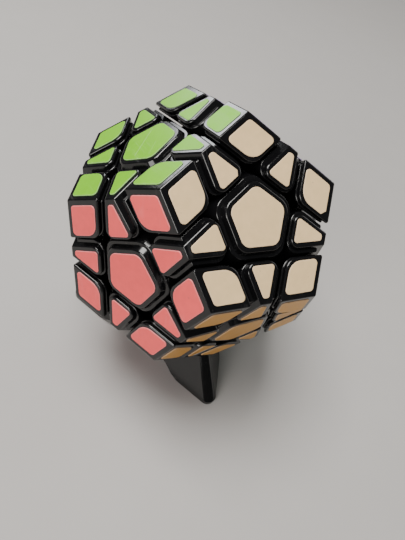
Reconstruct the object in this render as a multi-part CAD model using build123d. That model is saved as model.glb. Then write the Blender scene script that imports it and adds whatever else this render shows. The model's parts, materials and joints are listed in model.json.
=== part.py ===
"""Dodecahedron twisty puzzle resting corner-down on a three-cornered stand.

Millimetres, +Z up, front towards -Y. The origin is under the middle of the whole object's box,
on the surface it stands on. Shapes are built about the puzzle's upright axis and moved at the end.
The puzzle's twelve layers are bounded by surfaces of revolution about their own face axes, so
each layer can turn about its face. The pieces are of three shapes, placed by rotation: a corner
shared by three layers, an edge shared by two, and a centre that is screwed to the core.
"""
from build123d import *
import os
from math import acos, cos, degrees, radians, sin, sqrt, tan

# ---- Puzzle, overall ----
FACE_DISTANCE = 34.0        # puzzle centre to each of its twelve faces
EDGE_END = 2.6883           # half the width of an edge piece at the outer edge, gap included
LAYER_GAP = 0.4             # between neighbouring pieces, all the way through
CREAM_TURN = -4.3           # degrees that the cream layer stands turned about its outward axis

# ---- Mechanism, measured from the puzzle centre ----
CORE_RADIUS = 20.0          # outside of the core
CORE_WALL = 3.0
CORE_CLEARANCE = 0.4        # from the core to the feet that slide over it
FOOT_RADIUS = 27.0          # outside of the wide feet that the layers hold
NECK_DEPTH = 2.0            # from a face to the end of the necks, where the flat cuts take over
FOOT_ANGLE = 50.0           # half angle of a layer's cone at the feet
JOIN_INSET = 0.4            # the necks run this far short of the flat cuts
SEAM_TURN = 25.0            # keeps the hidden seams of round surfaces from lining up

# ---- Outer shape of the pieces ----
STEP = 1.5                  # height of the raised top above the ledge
LEDGE = 0.75                # width of the ledge beside the raised top
CENTRE_ROUND = 4.2          # outline radius of a centre's raised top
EDGE_ROUND = 1.9            # outline radius at an edge piece's inner corners
CORNER_ROUND = 4.0          # outline radius at a corner piece's inner corner
TOP_FILLET = 0.55           # along the rim of a raised top
LEDGE_FILLET = 0.4          # along the rim of a ledge

# ---- Screws, springs, washers and caps, in each centre ----
SCREW_RADIUS = 1.5
SCREW_END = 12.5            # puzzle centre to the screw's tip
HEAD_HEIGHT = 1.8
HEAD_RADIUS = 2.6
SLOT_WIDTH = 0.6
SLOT_DEPTH = 0.9
WASHER_HEIGHT = 0.5
SPRING_LENGTH = 5.2
SPRING_WIRE = 0.25          # radius of the wire
SPRING_TURNS = 4
SPRING_CLEARANCE = 0.03     # at each end of a spring
SHANK_CLEARANCE = 0.05      # a turning centre on its screw
THREAD_CLEARANCE = 0.02     # a screw in its boss
WELL_RADIUS = 3.0           # well in the centre for the spring and screw head
WELL_FLOOR = 2.6
WASHER_CLEARANCE = 0.2      # washer, spring and head inside the well
PLUG_CLEARANCE = 0.03       # the cap's plug in the well
PLUG_LENGTH = 0.9
BOSS_RADIUS = 2.9
BOSS_END = 11.5             # puzzle centre to the boss's inner end

# ---- Stickers ----
STICKER_THICKNESS = 0.2
STICKER_MARGIN = 2.25       # from a cut plane to the sticker, along the face
STICKER_RIM = 1.45          # from an outer edge of the puzzle to the sticker
CENTRE_STICKER_ROUND = 2.6
EDGE_STICKER_ROUND = 0.8
CORNER_STICKER_INNER = 4.2  # towards the face's centre
CORNER_STICKER_SIDE = 1.1
CORNER_STICKER_TIP = 1.2    # towards the puzzle's corner

# ---- Stand ----
CORNER_LIFT = 8.2141        # lowest corner of the puzzle above the surface
AXIS_BACK = 0.86            # upright axis behind the origin, as the turned layer reaches forward
STAND_APOTHEM = 21.0        # middle of the base to the middle of each side
STAND_ROUND = 3.0           # of the base's corners
STAND_TOP_ROUND = 4.5
STAND_SKIRT = 1.8           # upright band round the foot of the wall
STAND_SLOPE = 61.8          # of the sides, from level
STAND_WALL = 2.0
STAND_ARCH_HALF = 19.0      # half width of the arch under each side
STAND_ARCH_RISE = 6.0
SEAT_CLEARANCE = 0.05       # stand to the stickers that rest on it
SWEEP_CLEARANCE = 0.6       # stand to the layers that turn past it

# ---- Worked out from the above ----
UPPER = degrees(acos(sqrt((5 + 2 * sqrt(5)) / 15)))     # corner axis to its own faces
WAIST = degrees(acos(sqrt((5 - 2 * sqrt(5)) / 15)))     # corner axis to the next faces
BETWEEN = degrees(acos(1 / sqrt(5)))                    # one face axis to the next
HALF_GAP = LAYER_GAP / 2
FACE_INRADIUS = FACE_DISTANCE * tan(radians(BETWEEN / 2))
CUT_LINE = FACE_INRADIUS * cos(radians(72)) + EDGE_END * sin(radians(72))
CUT_DEPTH = FACE_DISTANCE * cos(radians(BETWEEN)) + CUT_LINE * sin(radians(BETWEEN))
NECK_RADIUS = FACE_DISTANCE - NECK_DEPTH
NECK_ANGLE = degrees(acos(CUT_DEPTH / NECK_RADIUS))
FOOT_FLOOR = CORE_RADIUS + CORE_CLEARANCE
REACH = 3 * FACE_DISTANCE                               # larger than the puzzle
NEAR = 0.01                                             # how close counts as touching
LEDGE_DISTANCE = FACE_DISTANCE - STEP
FACE_CORNER = FACE_INRADIUS / cos(radians(36))
WELL_BOTTOM = FOOT_FLOOR + WELL_FLOOR
WASHER_BOTTOM = WELL_BOTTOM + SPRING_LENGTH
HEAD_BOTTOM = WASHER_BOTTOM + WASHER_HEIGHT
CENTRE_HEIGHT = CORNER_LIFT + FACE_DISTANCE / cos(radians(UPPER))
LIFT = Vector(0, 0, CENTRE_HEIGHT)
AXIS_FOOT = Vector(0, AXIS_BACK, 0)
UP = Vector(0, 0, 1)

# Colour, angle from +Z and azimuth of each face, with the puzzle standing on a corner.
FACES = {
    "lime": (UPPER, 150),
    "cream": (UPPER, 270),
    "purple": (UPPER, 30),
    "yellow": (WAIST, 90),
    "pink": (WAIST, 210),
    "sky": (WAIST, 330),
    "gold": (180 - WAIST, 270),
    "orange": (180 - WAIST, 30),
    "blue": (180 - WAIST, 150),
    "green": (180 - UPPER, 330),
    "white": (180 - UPPER, 90),
    "red": (180 - UPPER, 210),
}
TURNING = ("cream", "orange", "blue")   # three layers that share no piece


def direction(polar, azimuth):
    """Unit vector at an angle from +Z and an azimuth from +X."""
    turn, across = radians(azimuth), sin(radians(polar))
    return Vector(across * cos(turn), across * sin(turn), cos(radians(polar)))


NORMALS = {colour: direction(*angles) for colour, angles in FACES.items()}


def touch(a, b):
    """True for two faces that share an edge."""
    return abs(NORMALS[a].dot(NORMALS[b]) - cos(radians(BETWEEN))) < NEAR


def frame(axis, towards):
    """Plane through the origin with Z along axis and X leaning towards the second vector."""
    across = towards - axis * axis.dot(towards)
    return Plane(origin=(0, 0, 0), x_dir=across.normalized(), z_dir=axis.normalized())


def slab(normal, low, high):
    """Everything between two distances along a normal."""
    middle = normal * ((low + high) / 2)
    return Plane(origin=middle, z_dir=normal) * Box(REACH, REACH, high - low)


def cone_point(angle, shrink, radius):
    """Where a cone's side, moved in by shrink, meets a sphere about the origin."""
    apex = shrink / sin(radians(angle))
    along = sqrt(radius**2 - shrink**2) - apex * cos(radians(angle))
    return Vector(along * sin(radians(angle)), 0, apex + along * cos(radians(angle)))


def layer_hub(normal, shrink, outer_radius):
    """Inner part of the space a layer fills: one cone at the feet, another at the necks."""
    inner_radius = FOOT_FLOOR - CORE_WALL + 2 * shrink
    step_radius = FOOT_RADIUS - shrink
    below, above = Vector(0, 0, inner_radius), Vector(0, 0, outer_radius)
    foot_start = cone_point(FOOT_ANGLE, shrink, inner_radius)
    foot_end = cone_point(FOOT_ANGLE, shrink, step_radius)
    neck_start = cone_point(NECK_ANGLE, shrink, step_radius)
    neck_end = cone_point(NECK_ANGLE, shrink, outer_radius)

    def arc(start, end, radius):
        return ThreePointArc(start, (start + end).normalized() * radius, end)

    outline = [arc(below, foot_start, inner_radius), Line(foot_start, foot_end)]
    outline += [arc(foot_end, neck_start, step_radius), Line(neck_start, neck_end)]
    outline += [arc(neck_end, above, outer_radius), Line(above, below)]
    solid = Rot(0, 0, SEAM_TURN) * revolve(make_face(Curve() + outline), Axis.Z, 360)
    return Plane(origin=(0, 0, 0), z_dir=normal) * solid


def edges_between(solid, first, second):
    """A solid's edges that lie on a plane of each list; a plane is a normal and a distance."""
    def on(edge, plane):
        return all(abs(v.center().dot(plane[0]) - plane[1]) < NEAR for v in edge.vertices())

    def between(edge):
        return any(on(edge, p) and on(edge, q) for p in first for q in second if p != q)

    return [edge for edge in solid.edges() if between(edge)]


def on_any(edge, planes):
    """True if both ends and the middle of an edge lie on one of the planes."""
    points = [edge @ 0, edge @ 0.5, edge @ 1]
    return any(all(abs(p.dot(n) - distance) < NEAR for p in points) for n, distance in planes)


def block(own, ends, inset, top, outline_round, rim):
    """Flat-sided top of a piece: rounded outline first, then a small fillet round the rim.

    own are the normals of the layers it belongs to and ends those of the layers beside it.
    """
    floors = [(n, CUT_DEPTH + inset) for n in own]
    sides = [(n, CUT_DEPTH - inset) for n in ends]
    solid = slab(own[0], CUT_DEPTH + inset, top)
    for n in own[1:]:
        solid = solid & slab(n, CUT_DEPTH + inset, top)
    for n in ends:
        solid = solid & slab(n, -REACH / 2, CUT_DEPTH - inset)
    meeting = {1: (sides, sides), 2: (floors, sides), 3: (floors, floors)}
    solid = fillet(edges_between(solid, *meeting[len(own)]), outline_round)
    tops = [(n, top) for n in own]
    return fillet([e for e in solid.edges() if on_any(e, tops)], rim)


def mechanism(own):
    """Foot and neck of a piece: what its own layers share inside the flat cuts."""
    solid = layer_hub(own[0], HALF_GAP, NECK_RADIUS - JOIN_INSET)
    for n in own[1:]:
        solid = solid & layer_hub(n, HALF_GAP, NECK_RADIUS - JOIN_INSET)
    return solid


def raised_top(own, ends, outline_round):
    """Block of a piece above its ledge, from the flat cuts up to the faces."""
    return block(own, ends, HALF_GAP + LEDGE, FACE_DISTANCE, outline_round, TOP_FILLET)


def piece(own, ends, outline_round, with_top=True):
    """A whole piece: ledged base, raised top, neck and foot, clear of the layers beside it."""
    ledge = block(own, ends, HALF_GAP, LEDGE_DISTANCE, outline_round + LEDGE, LEDGE_FILLET)
    solid = ledge + mechanism(own)
    if with_top:
        solid += raised_top(own, ends, outline_round)
    for n in ends:
        solid -= layer_hub(n, -HALF_GAP, NECK_RADIUS - JOIN_INSET / 2)
    return solid - Sphere(FOOT_FLOOR)


def tube(radius, low, high):
    """Cylinder on the Z axis between two heights."""
    return Pos(0, 0, (low + high) / 2) * Cylinder(radius, high - low)


def corner_piece():
    """Corner about +Z, with its faces at azimuths 0, 120 and 240."""
    return piece([direction(UPPER, a) for a in (0, 120, 240)], [], CORNER_ROUND)


def edge_piece():
    """Edge about +Z, with its faces leaning to +X and -X and its ends to +Y and -Y."""
    own = [direction(BETWEEN / 2, a) for a in (0, 180)]
    ends = [direction(90 - BETWEEN / 2, a) for a in (90, 270)]
    return piece(own, ends, EDGE_ROUND)


CENTRE_SIDES = [direction(BETWEEN, 72 * i) for i in range(5)]


def centre_base():
    """Centre about +Z, with the well for its spring and the hole for its screw."""
    solid = piece([UP], CENTRE_SIDES, CENTRE_ROUND, with_top=False)
    solid -= tube(WELL_RADIUS, WELL_BOTTOM, FACE_DISTANCE)
    return solid - tube(SCREW_RADIUS + SHANK_CLEARANCE, CORE_RADIUS, WELL_BOTTOM + NEAR)


def centre_cap():
    """Raised pentagon that covers the well, with a short plug below."""
    top = raised_top([UP], CENTRE_SIDES, CENTRE_ROUND) & slab(UP, LEDGE_DISTANCE, REACH / 2)
    plug_radius = WELL_RADIUS - PLUG_CLEARANCE
    return top + tube(plug_radius, LEDGE_DISTANCE - PLUG_LENGTH, LEDGE_DISTANCE + STEP / 2)


def screw():
    """Slotted cheese-head screw along +Z."""
    head_top = HEAD_BOTTOM + HEAD_HEIGHT
    solid = tube(SCREW_RADIUS, SCREW_END, HEAD_BOTTOM) + tube(HEAD_RADIUS, HEAD_BOTTOM, head_top)
    slot = Box(3 * HEAD_RADIUS, SLOT_WIDTH, SLOT_DEPTH)
    return solid - Pos(0, 0, head_top - SLOT_DEPTH / 2) * slot


def washer():
    """Flat washer under the screw's head."""
    outer = tube(WELL_RADIUS - WASHER_CLEARANCE, WASHER_BOTTOM, HEAD_BOTTOM)
    return outer - tube(SCREW_RADIUS + WASHER_CLEARANCE, WELL_BOTTOM, FACE_DISTANCE)


def spring():
    """Compression spring between the well's floor and the washer."""
    radius = WELL_RADIUS - WASHER_CLEARANCE - SPRING_WIRE
    end = SPRING_WIRE + SPRING_CLEARANCE
    height = SPRING_LENGTH - 2 * end
    path = Pos(0, 0, WELL_BOTTOM + end) * Helix(height / SPRING_TURNS, height, radius)
    return sweep(Plane(origin=path @ 0, z_dir=path % 0) * Circle(SPRING_WIRE), path=path, is_frenet=True)


def core_half(sign):
    """Half of the hollow core, parted level, with a threaded boss behind each of its six centres."""
    own = [n for n in NORMALS.values() if n.Z * sign > 0]
    solid = Sphere(CORE_RADIUS) - Sphere(CORE_RADIUS - CORE_WALL)
    for n in own:
        solid += frame_of(n) * tube(BOSS_RADIUS, BOSS_END, CORE_RADIUS - CORE_WALL / 2)
    for n in own:
        solid -= frame_of(n) * tube(SCREW_RADIUS + THREAD_CLEARANCE, BOSS_END / 2, CORE_RADIUS + CORE_WALL)
    half = Pos(0, 0, sign * REACH / 2) * Box(REACH, REACH, REACH)
    return solid & half


def frame_of(normal):
    """Plane with Z along a face's axis, and X towards the first face beside it."""
    beside = next(n for n in NORMALS.values() if abs(n.dot(normal) - cos(radians(BETWEEN))) < NEAR)
    return frame(normal, beside)


def meet(first, second):
    """Crossing of two lines on a face; a line is the azimuth of its normal and its distance."""
    (a, p), (b, q) = first, second
    span = sin(radians(b - a))
    x = (p * sin(radians(b)) - q * sin(radians(a))) / span
    y = (q * cos(radians(a)) - p * cos(radians(b))) / span
    return Vector(x, y)


def sticker(lines, rounds):
    """Thin plate on a face, bounded by lines in turn, with a radius where each meets the next."""
    corners = [meet(lines[i], lines[(i + 1) % len(lines)]) for i in range(len(lines))]
    outline = make_face(Polyline(*corners, close=True).edges())
    for corner, radius in zip(corners, rounds):
        nearest = outline.vertices().sort_by_distance(corner)[0]
        outline = fillet(nearest, radius)
    return Pos(0, 0, FACE_DISTANCE) * extrude(outline, amount=STICKER_THICKNESS)


def centre_sticker():
    """Pentagon in the middle of a face."""
    lines = [(72 * i, CUT_LINE - STICKER_MARGIN) for i in range(5)]
    return sticker(lines, [CENTRE_STICKER_ROUND] * 5)


def edge_sticker():
    """Narrowing plate on the +X side of a face."""
    outer = FACE_INRADIUS - STICKER_RIM
    inner = -(CUT_LINE + STICKER_MARGIN)
    side = CUT_LINE - STICKER_MARGIN
    lines = [(0, outer), (72, side), (180, inner), (-72, side)]
    return sticker(lines, [EDGE_STICKER_ROUND] * 4)


def corner_sticker():
    """Kite at the +X corner of a face."""
    outer = FACE_INRADIUS - STICKER_RIM
    inner = -(CUT_LINE + STICKER_MARGIN)
    lines = [(36, outer), (144, inner), (216, inner), (-36, outer)]
    rounds = [CORNER_STICKER_SIDE, CORNER_STICKER_INNER, CORNER_STICKER_SIDE, CORNER_STICKER_TIP]
    return sticker(lines, rounds)


def rounded_triangle(apothem, height, radius):
    """Triangle with a corner towards -Y, at a height."""
    outline = RegularPolygon(apothem, 3, major_radius=False, rotation=30)
    return Pos(0, 0, height) * fillet(outline.vertices(), radius)


def stand_body(inset, low):
    """Upright skirt and sloping sides, as a solid; inset moves every side inwards."""
    run = (CENTRE_HEIGHT - STAND_SKIRT) / tan(radians(STAND_SLOPE))
    top_height = STAND_SKIRT + (CENTRE_HEIGHT - STAND_SKIRT) / 2
    top_apothem = STAND_APOTHEM - run / 2
    foot = rounded_triangle(STAND_APOTHEM - inset, low, STAND_ROUND)
    shoulder = rounded_triangle(STAND_APOTHEM - inset, STAND_SKIRT, STAND_ROUND)
    crown_round = STAND_TOP_ROUND * top_apothem / STAND_APOTHEM
    crown = rounded_triangle(top_apothem - inset, top_height, crown_round)
    return extrude(foot, amount=STAND_SKIRT - low) + loft([shoulder, crown], ruled=True)


def sweep_of(normal):
    """Space that a layer's corners pass through as it turns, with room to spare.

    The edges that run down from a face's corners lean out from its axis by half of BETWEEN.
    """
    outer = FACE_DISTANCE + SWEEP_CLEARANCE
    inner = CUT_DEPTH - SWEEP_CLEARANCE
    top_radius = FACE_CORNER + SWEEP_CLEARANCE
    low_radius = top_radius + (outer - inner) * tan(radians(BETWEEN / 2))
    points = [(0, 0, inner), (low_radius, 0, inner), (top_radius, 0, outer), (0, 0, outer)]
    profile = make_face(Polyline(*points, close=True))
    return Plane(origin=(0, 0, 0), z_dir=normal) * revolve(profile, Axis.Z, 360)


def stand():
    """Open three-cornered ring, cut on top to seat the puzzle's lowest corner."""
    solid = stand_body(0, 0) - stand_body(STAND_WALL, -STAND_SKIRT)
    solid -= Pos(LIFT) * seat()
    for colour in ("gold", "orange", "blue"):
        solid -= Pos(LIFT) * sweep_of(NORMALS[colour])
    for azimuth in (90, 210, 330):
        solid -= Rot(0, 0, azimuth) * arch()
    return solid


def seat():
    """The puzzle's three lowest faces, stickers and clearance included."""
    solid = Sphere(REACH / 2)
    for colour in ("green", "white", "red"):
        distance = FACE_DISTANCE + STICKER_THICKNESS + SEAT_CLEARANCE
        solid = solid & slab(NORMALS[colour], -REACH / 2, distance)
    return solid


def arch():
    """Round bar that cuts the low arch under the side towards +X."""
    radius = (STAND_ARCH_HALF**2 + STAND_ARCH_RISE**2) / (2 * STAND_ARCH_RISE)
    bar = Rot(0, 90, 0) * Cylinder(radius, STAND_APOTHEM)
    return Pos(STAND_APOTHEM, 0, STAND_ARCH_RISE - radius) * bar


def owner(colours):
    """Layer that a piece belongs to, or body for the part that stays with the core."""
    return next((c for c in TURNING if c in colours), "body")


def settle(shape, layer_name):
    """Place a shape in the standing puzzle, turning the cream layer to where it stands."""
    if layer_name == "cream":
        shape = shape.rotate(Axis((0, 0, 0), NORMALS["cream"]), CREAM_TURN)
    return Pos(AXIS_FOOT + LIFT) * shape


def groups_of_faces():
    """Colours that meet on each piece: one for a centre, two for an edge, three for a corner."""
    colours = list(FACES)
    ones = [(a,) for a in colours]
    twos = [(a, b) for i, a in enumerate(colours) for b in colours[i + 1:] if touch(a, b)]
    threes = [(a, b, c) for a, b in twos for c in colours[colours.index(b) + 1:]
              if touch(a, c) and touch(b, c)]
    return ones + twos + threes


def middle_of(group):
    """Axis of the piece that a group of faces meets on."""
    return sum((NORMALS[c] for c in group), Vector(0, 0, 0)).normalized()


def piece_name(group, kind):
    """Node of a piece: its own if it is alone or on the cream layer, else one for its kind."""
    layer_name = owner(group)
    if layer_name == "cream":
        return "_".join(["cream"] + [c for c in group if c != "cream"] + [kind])
    alone = layer_name in TURNING and len(group) == 1
    return f"{layer_name}_{kind}" if alone else f"{layer_name}_{kind}s"


def mouldings():
    """Node, layer and shape of every moulded piece, about the puzzle's centre."""
    shapes = {1: {"centre_base": centre_base(), "centre_cap": centre_cap()},
              2: {"edge": edge_piece()}, 3: {"corner": corner_piece()}}
    for group in groups_of_faces():
        axis = middle_of(group)
        here = frame_of(axis) if len(group) == 1 else frame(axis, NORMALS[group[0]])
        for kind, shape in shapes[len(group)].items():
            yield piece_name(group, kind), owner(group), here * shape


def films():
    """Node, layer and shape of every sticker, about the puzzle's centre."""
    shapes = {1: centre_sticker(), 2: edge_sticker(), 3: corner_sticker()}
    for group in groups_of_faces():
        for colour in group:
            out = NORMALS[colour]
            here = frame_of(out) if len(group) == 1 else frame(out, middle_of(group))
            yield f"{owner(group)}_stickers_{colour}", owner(group), here * shapes[len(group)]


def core_parts():
    """Node, layer and shape of everything at the core."""
    fixings = {"core_screws": screw(), "core_washers": washer(), "core_springs": spring()}
    for normal in NORMALS.values():
        for name, shape in fixings.items():
            yield name, "body", frame_of(normal) * shape
    yield "core_upper_half", "body", core_half(1)
    yield "core_lower_half", "body", core_half(-1)


def save(name, shapes):
    """Write one node from its solids."""
    solids = [s for shape in shapes for s in shape.solids()]
    node = solids[0] if len(solids) == 1 else Compound(children=solids)
    node.label = name
    export_step(node, f"parts/{name}.step")


def main():
    os.makedirs("parts", exist_ok=True)
    nodes = {"stand": [Pos(AXIS_FOOT) * stand()]}
    for source in (mouldings(), films(), core_parts()):
        for name, layer_name, shape in source:
            nodes.setdefault(name, []).append(settle(shape, layer_name))
    for name, shapes in nodes.items():
        save(name, shapes)


main()
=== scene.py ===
"""Looks of the dodecahedron twisty puzzle on its three-cornered stand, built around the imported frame.

Metres, +Z up, front towards -Y. The origin is the frame's own, on the surface the stand rests on.
"""
import json

import bpy
import numpy as np
from mathutils import Matrix, Vector


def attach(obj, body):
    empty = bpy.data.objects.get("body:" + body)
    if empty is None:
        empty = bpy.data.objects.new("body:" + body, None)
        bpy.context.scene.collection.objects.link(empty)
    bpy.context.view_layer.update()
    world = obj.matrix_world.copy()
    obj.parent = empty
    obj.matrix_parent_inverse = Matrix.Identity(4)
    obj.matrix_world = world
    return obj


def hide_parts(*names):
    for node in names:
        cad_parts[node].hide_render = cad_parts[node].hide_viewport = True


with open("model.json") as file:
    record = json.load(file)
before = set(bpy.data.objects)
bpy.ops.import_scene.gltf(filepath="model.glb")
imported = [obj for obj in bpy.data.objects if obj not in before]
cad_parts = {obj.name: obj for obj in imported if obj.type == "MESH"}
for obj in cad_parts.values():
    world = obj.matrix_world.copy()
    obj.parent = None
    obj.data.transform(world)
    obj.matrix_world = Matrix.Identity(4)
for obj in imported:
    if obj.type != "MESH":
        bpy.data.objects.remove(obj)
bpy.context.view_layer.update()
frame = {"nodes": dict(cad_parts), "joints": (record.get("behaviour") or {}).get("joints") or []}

MM = 0.001

# ---- Sizes that the frame's nodes share, restated in metres ----
FACE_DISTANCE = 34.0 * MM        # puzzle centre to each face
CUT_DEPTH = 23.3 * MM            # puzzle centre to the cut that parts a layer
CREAM_TURN = np.radians(-4.3)    # how far the cream layer stands turned
STICKER_THICKNESS = 0.2 * MM
STICKER_MARGIN = 2.25 * MM       # cut line to sticker
STICKER_RIM = 1.45 * MM          # puzzle's outer edge to sticker
CENTRE_STICKER_ROUND = 2.6 * MM
EDGE_STICKER_ROUND = 0.8 * MM
CORNER_STICKER_INNER = 4.2 * MM
CORNER_STICKER_SIDE = 1.1 * MM
CORNER_STICKER_TIP = 1.2 * MM
SPRING_RADIUS = 2.55 * MM        # middle of the wire
SPRING_WIRE = 0.25 * MM          # radius of the wire
SPRING_START = 23.28 * MM        # puzzle centre to the middle of the wire's ends
SPRING_END = 27.92 * MM
SPRING_TURNS = 4

# ---- Sizes of the looks alone ----
STICKER_SOFTENING = 0.12 * MM    # radius of a film's rolled upper edge
STICKER_ROLL_STEPS = 5           # outlines round that edge
STICKER_ARC_STEPS = 9            # points round each corner of a film
SMALLEST_ROUND = 0.06 * MM       # a film's corners stay at least this round
WORN_ROUND = 0.25 * MM           # where a worn edge meets the film's own outline
FLOOR_HALF = 1.5                 # middle of the floor to its sides
GRAIN_DEPTH = 0.03 * MM          # of the bump on plastic and vinyl

SAME_ANGLE = 0.01                # how close two cosines count as one angle

# ---- Angles of a dodecahedron standing on a corner ----
UPPER = np.arccos(np.sqrt((5 + 2 * np.sqrt(5)) / 15))
WAIST = np.arccos(np.sqrt((5 - 2 * np.sqrt(5)) / 15))
BETWEEN = np.arccos(1 / np.sqrt(5))
CUT_LINE = (CUT_DEPTH - FACE_DISTANCE * np.cos(BETWEEN)) / np.sin(BETWEEN)
FACE_INRADIUS = FACE_DISTANCE * np.tan(BETWEEN / 2)
CENTRE = np.array(next(j["pos_m"] for j in frame["joints"] if j["name"] == "cream_layer_turn"))

FACES = {
    "lime": (UPPER, 150), "cream": (UPPER, 270), "purple": (UPPER, 30),
    "yellow": (WAIST, 90), "pink": (WAIST, 210), "sky": (WAIST, 330),
    "gold": (np.pi - WAIST, 270), "orange": (np.pi - WAIST, 30), "blue": (np.pi - WAIST, 150),
    "green": (np.pi - UPPER, 330), "white": (np.pi - UPPER, 90), "red": (np.pi - UPPER, 210),
}
BODY_OF_LAYER = {
    "cream": "cream_layer", "orange": "orange_layer", "blue": "blue_layer", "body": "puzzle_core",
}


def direction(polar, azimuth):
    """Unit vector at an angle from +Z and an azimuth in degrees from +X."""
    turn = np.radians(azimuth)
    return np.array([np.sin(polar) * np.cos(turn), np.sin(polar) * np.sin(turn), np.cos(polar)])


NORMALS = {colour: direction(*angles) for colour, angles in FACES.items()}


def axes_on(normal, towards):
    """Columns X, Y, Z of a face's own frame: Z along its normal and X leaning towards a vector."""
    x = towards - normal * (towards @ normal)
    x /= np.linalg.norm(x)
    return np.column_stack([x, np.cross(normal, x), normal])


def touching(a, b):
    """True for two faces that share an edge."""
    return abs(NORMALS[a] @ NORMALS[b] - np.cos(BETWEEN)) < SAME_ANGLE


def face_basis(colour):
    """A face's own frame, with X towards the first face beside it."""
    beside = next(c for c in FACES if touching(c, colour))
    return axes_on(NORMALS[colour], NORMALS[beside])


def turned(points, axis, angle):
    """Points turned about an axis through the puzzle's centre, by Rodrigues' formula."""
    along = np.outer(points @ axis, axis)
    return along + (points - along) * np.cos(angle) + np.cross(axis, points) * np.sin(angle)


def on_face(colour, right, up, below=0.0):
    """A point from a face's middle: millimetres level to the right, up the face and below it."""
    normal = NORMALS[colour]
    across = np.cross([0.0, 0.0, 1.0], normal)
    across /= np.linalg.norm(across)
    height = FACE_DISTANCE + STICKER_THICKNESS - below * MM
    return tuple(CENTRE + normal * height + (across * right + np.cross(normal, across) * up) * MM)


# ---------------------------------------------------------------- Node groups

def new_group(name, inputs, outputs):
    """Shader node group with named sockets; inputs and outputs are name: (kind, default)."""
    group = bpy.data.node_groups.new(name, "ShaderNodeTree")
    for label, (kind, default) in inputs.items():
        socket = group.interface.new_socket(label, in_out="INPUT", socket_type=kind)
        socket.default_value = default
    for label, kind in outputs.items():
        group.interface.new_socket(label, in_out="OUTPUT", socket_type=kind)
    return group, group.nodes.new("NodeGroupInput"), group.nodes.new("NodeGroupOutput")


def add(tree, kind, **values):
    """New node in a tree, with attributes set by name and sockets by Title_Case keyword."""
    node = tree.nodes.new(kind)
    for key, value in values.items():
        if hasattr(node, key):
            setattr(node, key, value)
        else:
            node.inputs[key.replace("_", " ")].default_value = value
    return node


def math(tree, operation, first, second=None, clamp=False):
    """Math node; each argument is a socket to link or a number to set."""
    node = add(tree, "ShaderNodeMath", operation=operation, use_clamp=clamp)
    for index, value in enumerate((first, second)):
        if value is None:
            continue
        if isinstance(value, bpy.types.NodeSocket):
            tree.links.new(value, node.inputs[index])
        else:
            node.inputs[index].default_value = value
    return node.outputs[0]


def ramp(tree, value, low, high, low_to=0.0, high_to=1.0):
    """Map Range from low..high to low_to..high_to, clamped."""
    node = add(tree, "ShaderNodeMapRange")
    limits = {"From Min": low, "From Max": high, "To Min": low_to, "To Max": high_to}
    for name, number in limits.items():
        node.inputs[name].default_value = number
    tree.links.new(value, node.inputs["Value"])
    return node.outputs["Result"]


def scratch_group():
    """Fine straight scratches.

    Each of three noises varies along one direction only, so its middle level is a set of planes,
    which meet the surface in straight lines. A slower noise breaks the lines into short lengths.
    """
    group, given, made = new_group(
        "fine_scratches",
        {"Vector": ("NodeSocketVector", (0, 0, 0)), "Scale": ("NodeSocketFloat", 400.0),
         "Amount": ("NodeSocketFloat", 0.5)},
        {"Mask": "NodeSocketFloat"},
    )
    lines = []
    for turn in (0.5, 1.9, 2.7):
        place = add(group, "ShaderNodeMapping")
        place.inputs["Rotation"].default_value = (turn, turn * 0.7, turn * 1.3)
        place.inputs["Scale"].default_value = (1.0, 0.012, 0.012)
        group.links.new(given.outputs["Vector"], place.inputs["Vector"])
        noise = add(group, "ShaderNodeTexNoise", Detail=1.0)
        group.links.new(place.outputs[0], noise.inputs["Vector"])
        group.links.new(given.outputs["Scale"], noise.inputs["Scale"])
        distance = math(group, "ABSOLUTE", math(group, "SUBTRACT", noise.outputs[0], 0.5))
        lines.append(ramp(group, distance, 0.0, 0.014, 1.0, 0.0))
    together = math(group, "MAXIMUM", math(group, "MAXIMUM", lines[0], lines[1]), lines[2])
    patches = add(group, "ShaderNodeTexNoise", Scale=150.0, Detail=2.0)
    group.links.new(given.outputs["Vector"], patches.inputs["Vector"])
    broken = math(group, "MULTIPLY", together, ramp(group, patches.outputs[0], 0.56, 0.66))
    group.links.new(math(group, "MULTIPLY", broken, given.outputs["Amount"]), made.inputs["Mask"])
    return group


def long_scratch_group():
    """One long scratch: a mask that is 1 on the straight line from one point to another.

    A place is measured along the line as a share of its length, held between 0 and 1, and its
    distance from that point of the line is compared with the scratch's half width.
    """
    group, given, made = new_group(
        "long_scratch",
        {"Vector": ("NodeSocketVector", (0, 0, 0)), "From": ("NodeSocketVector", (0, 0, 0)),
         "To": ("NodeSocketVector", (0, 0, 1)), "Half Width": ("NodeSocketFloat", 0.0001)},
        {"Mask": "NodeSocketFloat"},
    )

    def vector(operation, first, second, output="Vector"):
        node = add(group, "ShaderNodeVectorMath", operation=operation)
        group.links.new(first, node.inputs[0])
        group.links.new(second, node.inputs[1])
        return node.outputs[output]

    along = vector("SUBTRACT", given.outputs["To"], given.outputs["From"])
    offset = vector("SUBTRACT", given.outputs["Vector"], given.outputs["From"])
    share = math(group, "DIVIDE", vector("DOT_PRODUCT", offset, along, "Value"),
                 vector("DOT_PRODUCT", along, along, "Value"), clamp=True)
    reach = add(group, "ShaderNodeVectorMath", operation="SCALE")
    group.links.new(along, reach.inputs[0])
    group.links.new(share, reach.inputs["Scale"])
    away = vector("DISTANCE", offset, reach.outputs[0], "Value")
    relative = math(group, "DIVIDE", away, given.outputs["Half Width"])
    group.links.new(ramp(group, relative, 0.4, 1.0, 1.0, 0.0), made.inputs["Mask"])
    return group


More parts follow.
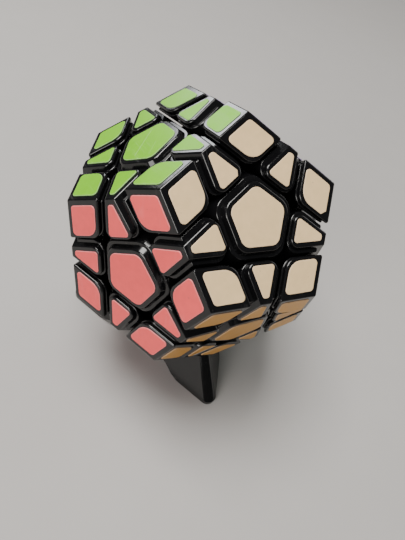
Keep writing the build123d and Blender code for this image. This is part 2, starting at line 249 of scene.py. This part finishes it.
def dust_group():
    """Sparse pale specks: small cells of a Voronoi field, kept only where a noise is high."""
    group, given, made = new_group(
        "dust_specks",
        {"Vector": ("NodeSocketVector", (0, 0, 0)), "Scale": ("NodeSocketFloat", 900.0),
         "Amount": ("NodeSocketFloat", 0.5)},
        {"Mask": "NodeSocketFloat"},
    )
    cells = add(group, "ShaderNodeTexVoronoi")
    group.links.new(given.outputs["Vector"], cells.inputs["Vector"])
    group.links.new(given.outputs["Scale"], cells.inputs["Scale"])
    speck = ramp(group, cells.outputs["Distance"], 0.06, 0.16, 1.0, 0.0)
    chosen = add(group, "ShaderNodeSeparateColor")
    group.links.new(cells.outputs["Color"], chosen.inputs[0])
    rare = ramp(group, chosen.outputs[0], 0.86, 0.9)
    kept = math(group, "MULTIPLY", speck, rare)
    group.links.new(math(group, "MULTIPLY", kept, given.outputs["Amount"]), made.inputs["Mask"])
    return group


def mottle_group():
    """Slow cloudiness of a moulded or printed surface: two noises of different size, averaged."""
    group, given, made = new_group(
        "soft_mottle",
        {"Vector": ("NodeSocketVector", (0, 0, 0)), "Scale": ("NodeSocketFloat", 60.0)},
        {"Value": "NodeSocketFloat"},
    )
    slow = add(group, "ShaderNodeTexNoise", Detail=3.0)
    fast = add(group, "ShaderNodeTexNoise", Detail=4.0)
    for node, factor in ((slow, 1.0), (fast, 7.0)):
        group.links.new(given.outputs["Vector"], node.inputs["Vector"])
        group.links.new(math(group, "MULTIPLY", given.outputs["Scale"], factor), node.inputs["Scale"])
    both = math(group, "ADD", slow.outputs[0], fast.outputs[0])
    group.links.new(math(group, "MULTIPLY", both, 0.5), made.inputs["Value"])
    return group


SCRATCHES = scratch_group()
LONG_SCRATCH = long_scratch_group()
DUST = dust_group()
MOTTLE = mottle_group()


def place_group(tree, group, vector, **values):
    """A shared effect in a material, fed with a vector and its own numbers."""
    node = tree.nodes.new("ShaderNodeGroup")
    node.node_tree = group
    tree.links.new(vector, node.inputs["Vector"])
    for key, value in values.items():
        node.inputs[key].default_value = value
    return node.outputs[0]


# ---------------------------------------------------------------- Materials

NICK_GLINT_PALE = (0.46, 0.42, 0.36)    # pale colour painted on a real nick: a painted glint of light off its chipped face
PALE_DUST = (0.20, 0.19, 0.17)       # on black plastic
DARK_SPECKS = (0.12, 0.11, 0.10)     # on vinyl
PLASTIC_IOR = 1.53
VINYL_SPECULAR = 0.30


def start_material(name):
    """Material with a Principled shader, its tree and its Object coordinates."""
    material = bpy.data.materials.new(name)
    material.use_nodes = True
    tree = material.node_tree
    shader = tree.nodes["Principled BSDF"]
    coordinates = tree.nodes.new("ShaderNodeTexCoord").outputs["Object"]
    return material, tree, shader, coordinates


def mix(tree, factor, first, second):
    """Colour mix; first and second are colours or sockets."""
    node = add(tree, "ShaderNodeMix", data_type="RGBA")
    tree.links.new(factor, node.inputs[0])
    for index, value in ((6, first), (7, second)):
        if isinstance(value, bpy.types.NodeSocket):
            tree.links.new(value, node.inputs[index])
        else:
            node.inputs[index].default_value = (*value, 1)
    return node.outputs[2]


def bump(tree, shader, height, strength, distance):
    """Bump from a height, into the shader's normal."""
    node = add(tree, "ShaderNodeBump", Strength=strength, Distance=distance)
    tree.links.new(height, node.inputs["Height"])
    tree.links.new(node.outputs[0], shader.inputs["Normal"])


def long_scratch(tree, where, start, end, half_width):
    """Mask of one long scratch in a material."""
    values = {"From": start, "To": end, "Half Width": half_width}
    return place_group(tree, LONG_SCRATCH, where, **values)


def polished_black(name, colour, roughness, scratch_amount, glinting_nicks=()):
    """Glossy moulded black plastic with fingerprint haze, fine scratches and a little dust.

    nicks are real nicks in the plastic, each two ends and a half width, painted pale as a painted glint
    of light.
    """
    material, tree, shader, where = start_material(name)
    cloud = place_group(tree, MOTTLE, where, Scale=45.0)
    scratch = place_group(tree, SCRATCHES, where, Scale=420.0, Amount=scratch_amount)
    dust = place_group(tree, DUST, where, Scale=620.0, Amount=0.25)
    worn = mix(tree, scratch, colour, tuple(c + 0.03 for c in colour))
    # Each nick is a real mark, but its pale colour is a painted glint, not bare plastic
    for start, end, half_width in glinting_nicks:
        glinting_nick = long_scratch(tree, where, start, end, half_width)
        painted_glint = math(tree, "MULTIPLY", glinting_nick, ramp(tree, cloud, 0.44, 0.5))
        worn = mix(tree, painted_glint, worn, NICK_GLINT_PALE)
    tree.links.new(mix(tree, dust, worn, PALE_DUST), shader.inputs["Base Color"])
    haze = ramp(tree, cloud, 0.35, 0.65, roughness, roughness + 0.08)
    rough = math(tree, "ADD", haze, math(tree, "MULTIPLY", scratch, 0.2))
    tree.links.new(math(tree, "ADD", rough, math(tree, "MULTIPLY", dust, 0.5), clamp=True),
                   shader.inputs["Roughness"])
    bump(tree, shader, cloud, 0.08, GRAIN_DEPTH)
    shader.inputs["IOR"].default_value = PLASTIC_IOR
    return material


def vinyl(name, colour, edge_colour, marks=()):
    """Thin vinyl film: even colour with slight print mottle, pale cut edge, scuffs and specks.

    marks are long scratches, each its two ends and its half width.
    """
    material, tree, shader, where = start_material(name)
    rim = add(tree, "ShaderNodeAttribute", attribute_name="rim").outputs["Fac"]
    cloud = place_group(tree, MOTTLE, where, Scale=70.0)
    scratch = place_group(tree, SCRATCHES, where, Scale=300.0, Amount=0.25)
    for start, end, half_width in marks:
        mark = long_scratch(tree, where, start, end, half_width)
        scratch = math(tree, "MAXIMUM", scratch, mark)
    dust = place_group(tree, DUST, where, Scale=500.0, Amount=0.3)
    deep = tuple(c * 0.95 for c in colour)
    pale = tuple(min(1.0, c * 1.04) for c in colour)
    base = mix(tree, ramp(tree, cloud, 0.38, 0.62), deep, pale)
    base = mix(tree, ramp(tree, rim, 0.55, 1.0, 0.0, 0.6), base, edge_colour)
    scuffed = tuple(c * 0.6 + 0.3 for c in colour)
    base = mix(tree, math(tree, "MULTIPLY", scratch, 0.5), base, scuffed)
    tree.links.new(mix(tree, dust, base, DARK_SPECKS), shader.inputs["Base Color"])
    haze = ramp(tree, cloud, 0.35, 0.65, 0.30, 0.40)
    tree.links.new(math(tree, "ADD", haze, math(tree, "MULTIPLY", scratch, 0.3), clamp=True),
                   shader.inputs["Roughness"])
    shader.inputs["Specular IOR Level"].default_value = VINYL_SPECULAR
    bump(tree, shader, cloud, 0.10, GRAIN_DEPTH)
    return material


def plain_metal(name, colour, roughness):
    """Bright steel with drawn or turned marks in its roughness."""
    material, tree, shader, where = start_material(name)
    scratch = place_group(tree, SCRATCHES, where, Scale=900.0, Amount=0.8)
    cloud = place_group(tree, MOTTLE, where, Scale=200.0)
    dull = tuple(c * 0.85 for c in colour)
    tree.links.new(mix(tree, cloud, dull, colour), shader.inputs["Base Color"])
    haze = ramp(tree, cloud, 0.3, 0.7, roughness, roughness + 0.1)
    rough = math(tree, "ADD", haze, math(tree, "MULTIPLY", scratch, 0.2))
    tree.links.new(rough, shader.inputs["Roughness"])
    shader.inputs["Metallic"].default_value = 1.0
    return material


def nylon(name, colour):
    """Matt natural nylon of the hidden core."""
    material, tree, shader, where = start_material(name)
    cloud = place_group(tree, MOTTLE, where, Scale=120.0)
    dull = tuple(c * 0.9 for c in colour)
    tree.links.new(mix(tree, cloud, dull, colour), shader.inputs["Base Color"])
    tree.links.new(ramp(tree, cloud, 0.3, 0.7, 0.45, 0.6), shader.inputs["Roughness"])
    return material


STICKER_COLOURS = {
    "lime": (0.17, 0.50, 0.0015), "cream": (0.78, 0.56, 0.30), "orange": (0.88, 0.17, 0.006),
    "yellow": (0.86, 0.56, 0.006), "pink": (0.88, 0.10, 0.10), "sky": (0.07, 0.36, 0.76),
    "gold": (0.55, 0.27, 0.045), "purple": (0.13, 0.02, 0.30), "blue": (0.008, 0.04, 0.38),
    "green": (0.004, 0.18, 0.035), "white": (0.80, 0.80, 0.78), "red": (0.50, 0.006, 0.010),
}
# A real nick near the cream face's corner, painted pale as a painted glint of light
GLINTING_NICKS = [(on_face("cream", 15.6, 13.8, 1.7), on_face("cream", 17.2, 12.9, 1.7), 0.7 * MM)]
BLACK = polished_black("polished_black_abs", (0.004, 0.004, 0.0045), 0.10, 0.5, GLINTING_NICKS)
STAND_BLACK = polished_black("stand_black_styrene", (0.005, 0.005, 0.005), 0.08, 0.7)
CORE = nylon("natural_nylon", (0.75, 0.74, 0.70))
STEEL = plain_metal("zinc_plated_steel", (0.62, 0.62, 0.62), 0.25)
WIRE = plain_metal("bright_spring_wire", (0.68, 0.68, 0.68), 0.18)
MARKS = {"lime": [(on_face("lime", 4.6, -2.9), on_face("lime", -6.4, 0.1), 0.13 * MM),
                  (on_face("lime", 6.0, 1.5), on_face("lime", 1.0, 2.6), 0.07 * MM)]}
VINYL = {c: vinyl(f"{c}_vinyl", v, tuple(0.35 + 0.55 * x for x in v), MARKS.get(c, ()))
         for c, v in STICKER_COLOURS.items()}


# ---------------------------------------------------------------- Stickers

def rounded_outline(lines, rounds, inset, steps):
    """Convex outline bounded by straight lines, with an arc at each corner.

    A line is the angle of its normal and its distance. Each corner's arc is centred where the
    two lines, moved in by the radius, cross; its points are that centre plus the radius times a
    unit vector swept from one normal to the next. inset moves every line in and shortens the radii.
    """
    points = []
    for i, radius in enumerate(rounds):
        (a, p), (b, q) = lines[i], lines[(i + 1) % len(lines)]
        b = a + (b - a) % (2 * np.pi)
        bend = max(radius - inset, SMALLEST_ROUND)
        p, q = p - inset - bend, q - inset - bend
        span = np.sin(b - a)
        centre = np.array([p * np.sin(b) - q * np.sin(a), q * np.cos(a) - p * np.cos(b)]) / span
        sweep = np.linspace(a, b, steps)
        points.append(centre + bend * np.column_stack([np.cos(sweep), np.sin(sweep)]))
    return np.concatenate(points)


def sticker_lines(kind):
    """Bounding lines and corner radii of a face's centre (1), edge (2) or corner (3) sticker."""
    turn, near = 2 * np.pi / 5, CUT_LINE - STICKER_MARGIN
    far, outer = -(CUT_LINE + STICKER_MARGIN), FACE_INRADIUS - STICKER_RIM
    if kind == 1:
        return [(turn * i, near) for i in range(5)], [CENTRE_STICKER_ROUND] * 5
    if kind == 2:
        return [(0, outer), (turn, near), (np.pi, far), (-turn, near)], [EDGE_STICKER_ROUND] * 4
    half = turn / 2
    lines = [(half, outer), (np.pi - half, far), (np.pi + half, far), (-half, outer)]
    side = CORNER_STICKER_SIDE
    return lines, [side, CORNER_STICKER_INNER, side, CORNER_STICKER_TIP]


# Film corners that are worn away: piece and colour, angle of the worn edge's normal on the film
# (0 points away from the face's middle) and how far it is cut back.
WORN_CORNERS = {
    ("cream", "purple", "sky"): ("cream", -90, 1.2 * MM),
    ("lime", "cream"): ("cream", -126, 0.9 * MM),
    ("cream", "gold"): ("gold", 110, 0.5 * MM),
    ("yellow", "sky"): ("yellow", 120, 0.6 * MM),
}


def worn_lines(lines, rounds, degrees_round, depth):
    """A film's lines and radii with one more line, which takes a corner off with small radii."""
    angle = np.radians(degrees_round) % (2 * np.pi)
    sharp = rounded_outline(lines, [0.0] * len(lines), 0.0, 2)
    reach = (sharp @ [np.cos(angle), np.sin(angle)]).max()
    turns = [a % (2 * np.pi) for a, p in lines]
    before = max(range(len(lines)), key=lambda i: (turns[i] < angle, turns[i]))
    lines, rounds = list(lines), list(rounds)
    rounds[before] = WORN_ROUND
    lines.insert(before + 1, (angle, reach - depth))
    rounds.insert(before + 1, WORN_ROUND)
    return lines, rounds


def sticker_mesh(kind, worn=None):
    """Film as rings of one outline: up its cut side, round its rolled edge and across its top.

    Each ring is the outline moved in by an inset at a height; the rolled edge's insets and heights
    follow a quarter circle. The rim value falls from 1 at the cut side to 0 inside.
    """
    lines, rounds = sticker_lines(kind)
    if worn:
        lines, rounds = worn_lines(lines, rounds, *worn)
    soft, top = STICKER_SOFTENING, STICKER_THICKNESS
    roll = np.linspace(0, np.pi / 2, STICKER_ROLL_STEPS)
    insets = np.concatenate([[0.0], soft * (1 - np.cos(roll)), soft * np.array([1.6, 2.6, 6.0])])
    heights = np.concatenate([[0.0], top - soft + soft * np.sin(roll), [top, top, top]])
    rims = np.concatenate([[1.0], np.linspace(1, 0.8, STICKER_ROLL_STEPS), [0.55, 0.2, 0.0]])
    rings = [rounded_outline(lines, rounds, inset, STICKER_ARC_STEPS) for inset in insets]
    count = len(rings[0])
    levels = [np.column_stack([ring, np.full(count, h)]) for ring, h in zip(rings, heights)]
    flat = np.concatenate(levels)
    middle = rings[-1].mean(0)
    points = np.vstack([flat, [*middle, top], [*middle, 0.0]])
    rim = np.concatenate([np.repeat(rims, count), [0.0, 0.0]])
    here = np.arange(count)
    after = (here + 1) % count
    quads = []
    for level in range(len(insets) - 1):
        low, high = level * count, (level + 1) * count
        quads.append(np.column_stack([low + here, low + after, high + after, high + here]))
    last = (len(insets) - 1) * count
    cap = np.column_stack([last + here, last + after, np.full(count, len(flat))])
    under = np.column_stack([after, here, np.full(count, len(flat) + 1)])
    return points, rim, np.concatenate(quads), np.concatenate([cap, under])


def make_object(name, points, faces, material, attributes=None, smooth=True):
    """Mesh object from points and lists of faces, with float attributes by name."""
    mesh = bpy.data.meshes.new(name)
    mesh.from_pydata(points.tolist(), [], [f for group in faces for f in group.tolist()])
    for label, values in (attributes or {}).items():
        attribute = mesh.attributes.new(label, "FLOAT", "POINT")
        attribute.data.foreach_set("value", values.astype(np.float32))
    mesh.polygons.foreach_set("use_smooth", np.full(len(mesh.polygons), smooth))
    mesh.materials.append(material)
    mesh.update()
    thing = bpy.data.objects.new(name, mesh)
    bpy.context.scene.collection.objects.link(thing)
    return thing


def piece_groups():
    """Faces that meet on each piece: one for a centre, two for an edge, three for a corner."""
    names = list(FACES)
    ones = [(a,) for a in names]
    twos = [(a, b) for i, a in enumerate(names) for b in names[i + 1:] if touching(a, b)]
    threes = [t + (c,) for t in twos for c in names[names.index(t[1]) + 1:]
              if touching(t[0], c) and touching(t[1], c)]
    return ones + twos + threes


def owner(group):
    """Layer that a piece turns with, or body for the pieces that stay with the core."""
    return next((c for c in ("cream", "orange", "blue") if c in group), "body")


def make_stickers():
    """One object for each node of stickers: every film of a colour that rides on a body."""
    meshes = {kind: sticker_mesh(kind) for kind in (1, 2, 3)}
    gathered = {}
    for group in piece_groups():
        axis = sum(NORMALS[c] for c in group)
        axis = axis / np.linalg.norm(axis)
        worn_colour, *worn = WORN_CORNERS.get(group, (None,))
        for colour in group:
            is_worn = colour == worn_colour
            film = sticker_mesh(len(group), worn) if is_worn else meshes[len(group)]
            points, rim, quads, triangles = film
            basis = face_basis(colour) if len(group) == 1 else axes_on(NORMALS[colour], axis)
            placed = (points + [0, 0, FACE_DISTANCE]) @ basis.T
            if owner(group) == "cream":
                placed = turned(placed, NORMALS["cream"], CREAM_TURN)
            store = gathered.setdefault((owner(group), colour), ([], [], [], []))
            shift = sum(len(p) for p in store[0])
            for part, value in zip(store, (placed + CENTRE, rim, quads + shift, triangles + shift)):
                part.append(value)
    for (layer, colour), (points, rim, quads, triangles) in gathered.items():
        faces = [np.concatenate(quads), np.concatenate(triangles)]
        node = f"{layer}_stickers_{colour}"
        attributes = {"rim": np.concatenate(rim)}
        thing = make_object(
            f"film_{layer}_{colour}", np.concatenate(points), faces, VINYL[colour], attributes)
        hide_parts(node)
        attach(thing, BODY_OF_LAYER[layer])


make_stickers()


def coil(steps=96, around=10):
    """Coil about +Z: a circle of wire carried along a helix.

    The helix is (R cos t, R sin t, start + rise t); the circle lies in the plane of the outward
    direction and of the direction across both that and the helix's own. A fan closes each end.
    """
    t = np.linspace(0, 2 * np.pi * SPRING_TURNS, steps + 1)[:, None, None]
    a = np.linspace(0, 2 * np.pi, around, endpoint=False)[None, :, None]
    rise = (SPRING_END - SPRING_START) / (2 * np.pi * SPRING_TURNS)
    nothing = np.zeros_like(t)
    outward = np.concatenate([np.cos(t), np.sin(t), nothing], -1)
    round_ahead = np.concatenate([-np.sin(t), np.cos(t), nothing], -1)
    ahead = SPRING_RADIUS * round_ahead + [0, 0, rise]
    ahead /= np.linalg.norm(ahead, axis=-1, keepdims=True)
    height = np.concatenate([nothing, nothing, SPRING_START + rise * t], -1)
    middle = SPRING_RADIUS * outward + height
    grid = middle + SPRING_WIRE * (np.cos(a) * outward + np.sin(a) * np.cross(ahead, outward))
    points = np.vstack([grid.reshape(-1, 3), middle[0], middle[-1]])
    i, j = np.meshgrid(np.arange(steps), np.arange(around), indexing="ij")
    here, beside = i * around + j, i * around + (j + 1) % around
    quads = np.stack([here, beside, beside + around, here + around], -1).reshape(-1, 4)
    first = np.arange(around)
    second = (first + 1) % around
    last, ends = steps * around, (steps + 1) * around
    start_fan = np.column_stack([second, first, np.full(around, ends)])
    end_fan = np.column_stack([first + last, second + last, np.full(around, ends + 1)])
    return points, quads, np.concatenate([start_fan, end_fan])


def make_springs():
    """The spring under each centre's screw, all as one object."""
    points, quads, triangles = coil()
    places = np.concatenate([points @ face_basis(c).T + CENTRE for c in FACES])
    shifts = np.arange(len(FACES))[:, None, None] * len(points)
    faces = [(quads + shifts).reshape(-1, 4), (triangles + shifts).reshape(-1, 3)]
    springs = make_object("wound_springs", places, faces, WIRE)
    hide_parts("core_springs")
    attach(springs, "puzzle_core")


make_springs()


# ---------------------------------------------------------------- CAD nodes

def node_material(name):
    """Finish of a carried-over node, by its name."""
    if name in ("core_screws", "core_washers"):
        return STEEL
    if name.startswith("core_"):
        return CORE
    return STAND_BLACK if name == "stand" else BLACK


for name, thing in frame["nodes"].items():
    if thing.hide_render:
        continue
    thing.data.materials.clear()
    thing.data.materials.append(node_material(name))


# ---------------------------------------------------------------- Floor, lights and camera

def make_floor():
    """Plain pale floor: one level sheet of four cells."""
    along = np.linspace(-FLOOR_HALF, FLOOR_HALF, 3)
    points = np.array([[x, y, 0.0] for x in along for y in along])
    cells = [i * 3 + j for i in range(2) for j in range(2)]
    faces = np.array([[c, c + 3, c + 4, c + 1] for c in cells])
    material, tree, shader, where = start_material("pale_floor")
    cloud = place_group(tree, MOTTLE, where, Scale=8.0)
    base = mix(tree, cloud, (0.42, 0.405, 0.39), (0.46, 0.445, 0.43))
    tree.links.new(base, shader.inputs["Base Color"])
    shader.inputs["Roughness"].default_value = 0.8
    floor = make_object("floor", points, [faces], material, smooth=False)


def area_light(name, towards, distance, size, power, colour):
    """Soft rectangular light that looks at the puzzle from a direction; size is width and height."""
    light = bpy.data.lights.new(name, "AREA")
    light.shape, light.energy, light.color = "RECTANGLE", power, colour
    light.size, light.size_y = size
    lamp = bpy.data.objects.new(name, light)
    bpy.context.scene.collection.objects.link(lamp)
    out = Vector(towards).normalized()
    lamp.location = Vector(CENTRE) + out * distance
    lamp.rotation_mode = "QUATERNION"
    lamp.rotation_quaternion = out.to_track_quat("Z", "Y")


def make_lights():
    """A broad light overhead, a window behind, a soft fill at the left and a dim surround."""
    area_light("overhead", (-0.20, 0.20, 1.0), 0.8, (0.45, 0.45), 10.5, (1.0, 0.98, 0.95))
    area_light("window", (0.03, 1.0, 0.22), 1.0, (0.30, 0.12), 1.0, (0.96, 0.98, 1.0))
    area_light("left_fill", (-0.95, -0.50, 0.45), 1.1, (0.6, 0.6), 8.0, (1.0, 0.97, 0.94))
    area_light("right_fill", (1.0, 0.1, 0.35), 1.3, (0.8, 0.8), 4.0, (1.0, 0.98, 0.96))
    world = bpy.data.worlds.new("surround")
    world.use_nodes = True
    background = world.node_tree.nodes["Background"]
    background.inputs["Color"].default_value = (0.95, 0.97, 1.0, 1)
    background.inputs["Strength"].default_value = 0.08
    bpy.context.scene.world = world


VIEW_HEADING = np.radians(40.07)     # from +Y towards +X
VIEW_PITCH = np.radians(50.24)       # below level
VIEW_ROLL = np.radians(21.33)
VIEW_DISTANCE = 136.5 * MM           # along the view's axis
VIEW_RISE = 12.5 * MM                # puzzle centre above the middle of the view
VIEW_SIDE = -0.5 * MM                # puzzle centre to the right of the middle of the view
VIEW_LENS = 28.9                     # millimetres, with 36 along the picture's longer side


def make_camera():
    """Camera from its heading, pitch and roll; it stands back along its axis from the puzzle."""
    level_ahead = Vector((np.sin(VIEW_HEADING), np.cos(VIEW_HEADING), 0))
    ahead = level_ahead * np.cos(VIEW_PITCH) - Vector((0, 0, np.sin(VIEW_PITCH)))
    level_right = Vector((np.cos(VIEW_HEADING), -np.sin(VIEW_HEADING), 0))
    level_up = level_right.cross(ahead)
    right = level_right * np.cos(VIEW_ROLL) + level_up * np.sin(VIEW_ROLL)
    up = right.cross(ahead)
    data = bpy.data.cameras.new("camera")
    data.sensor_width, data.lens = 36.0, VIEW_LENS
    data.clip_start, data.clip_end = 0.01, 20.0
    camera = bpy.data.objects.new("camera", data)
    bpy.context.scene.collection.objects.link(camera)
    place = Vector(CENTRE) - ahead * VIEW_DISTANCE - up * VIEW_RISE - right * VIEW_SIDE
    facing = Matrix((right, up, -ahead)).transposed().to_4x4()
    camera.matrix_world = Matrix.Translation(place) @ facing
    bpy.context.scene.camera = camera


make_floor()
make_lights()
make_camera()
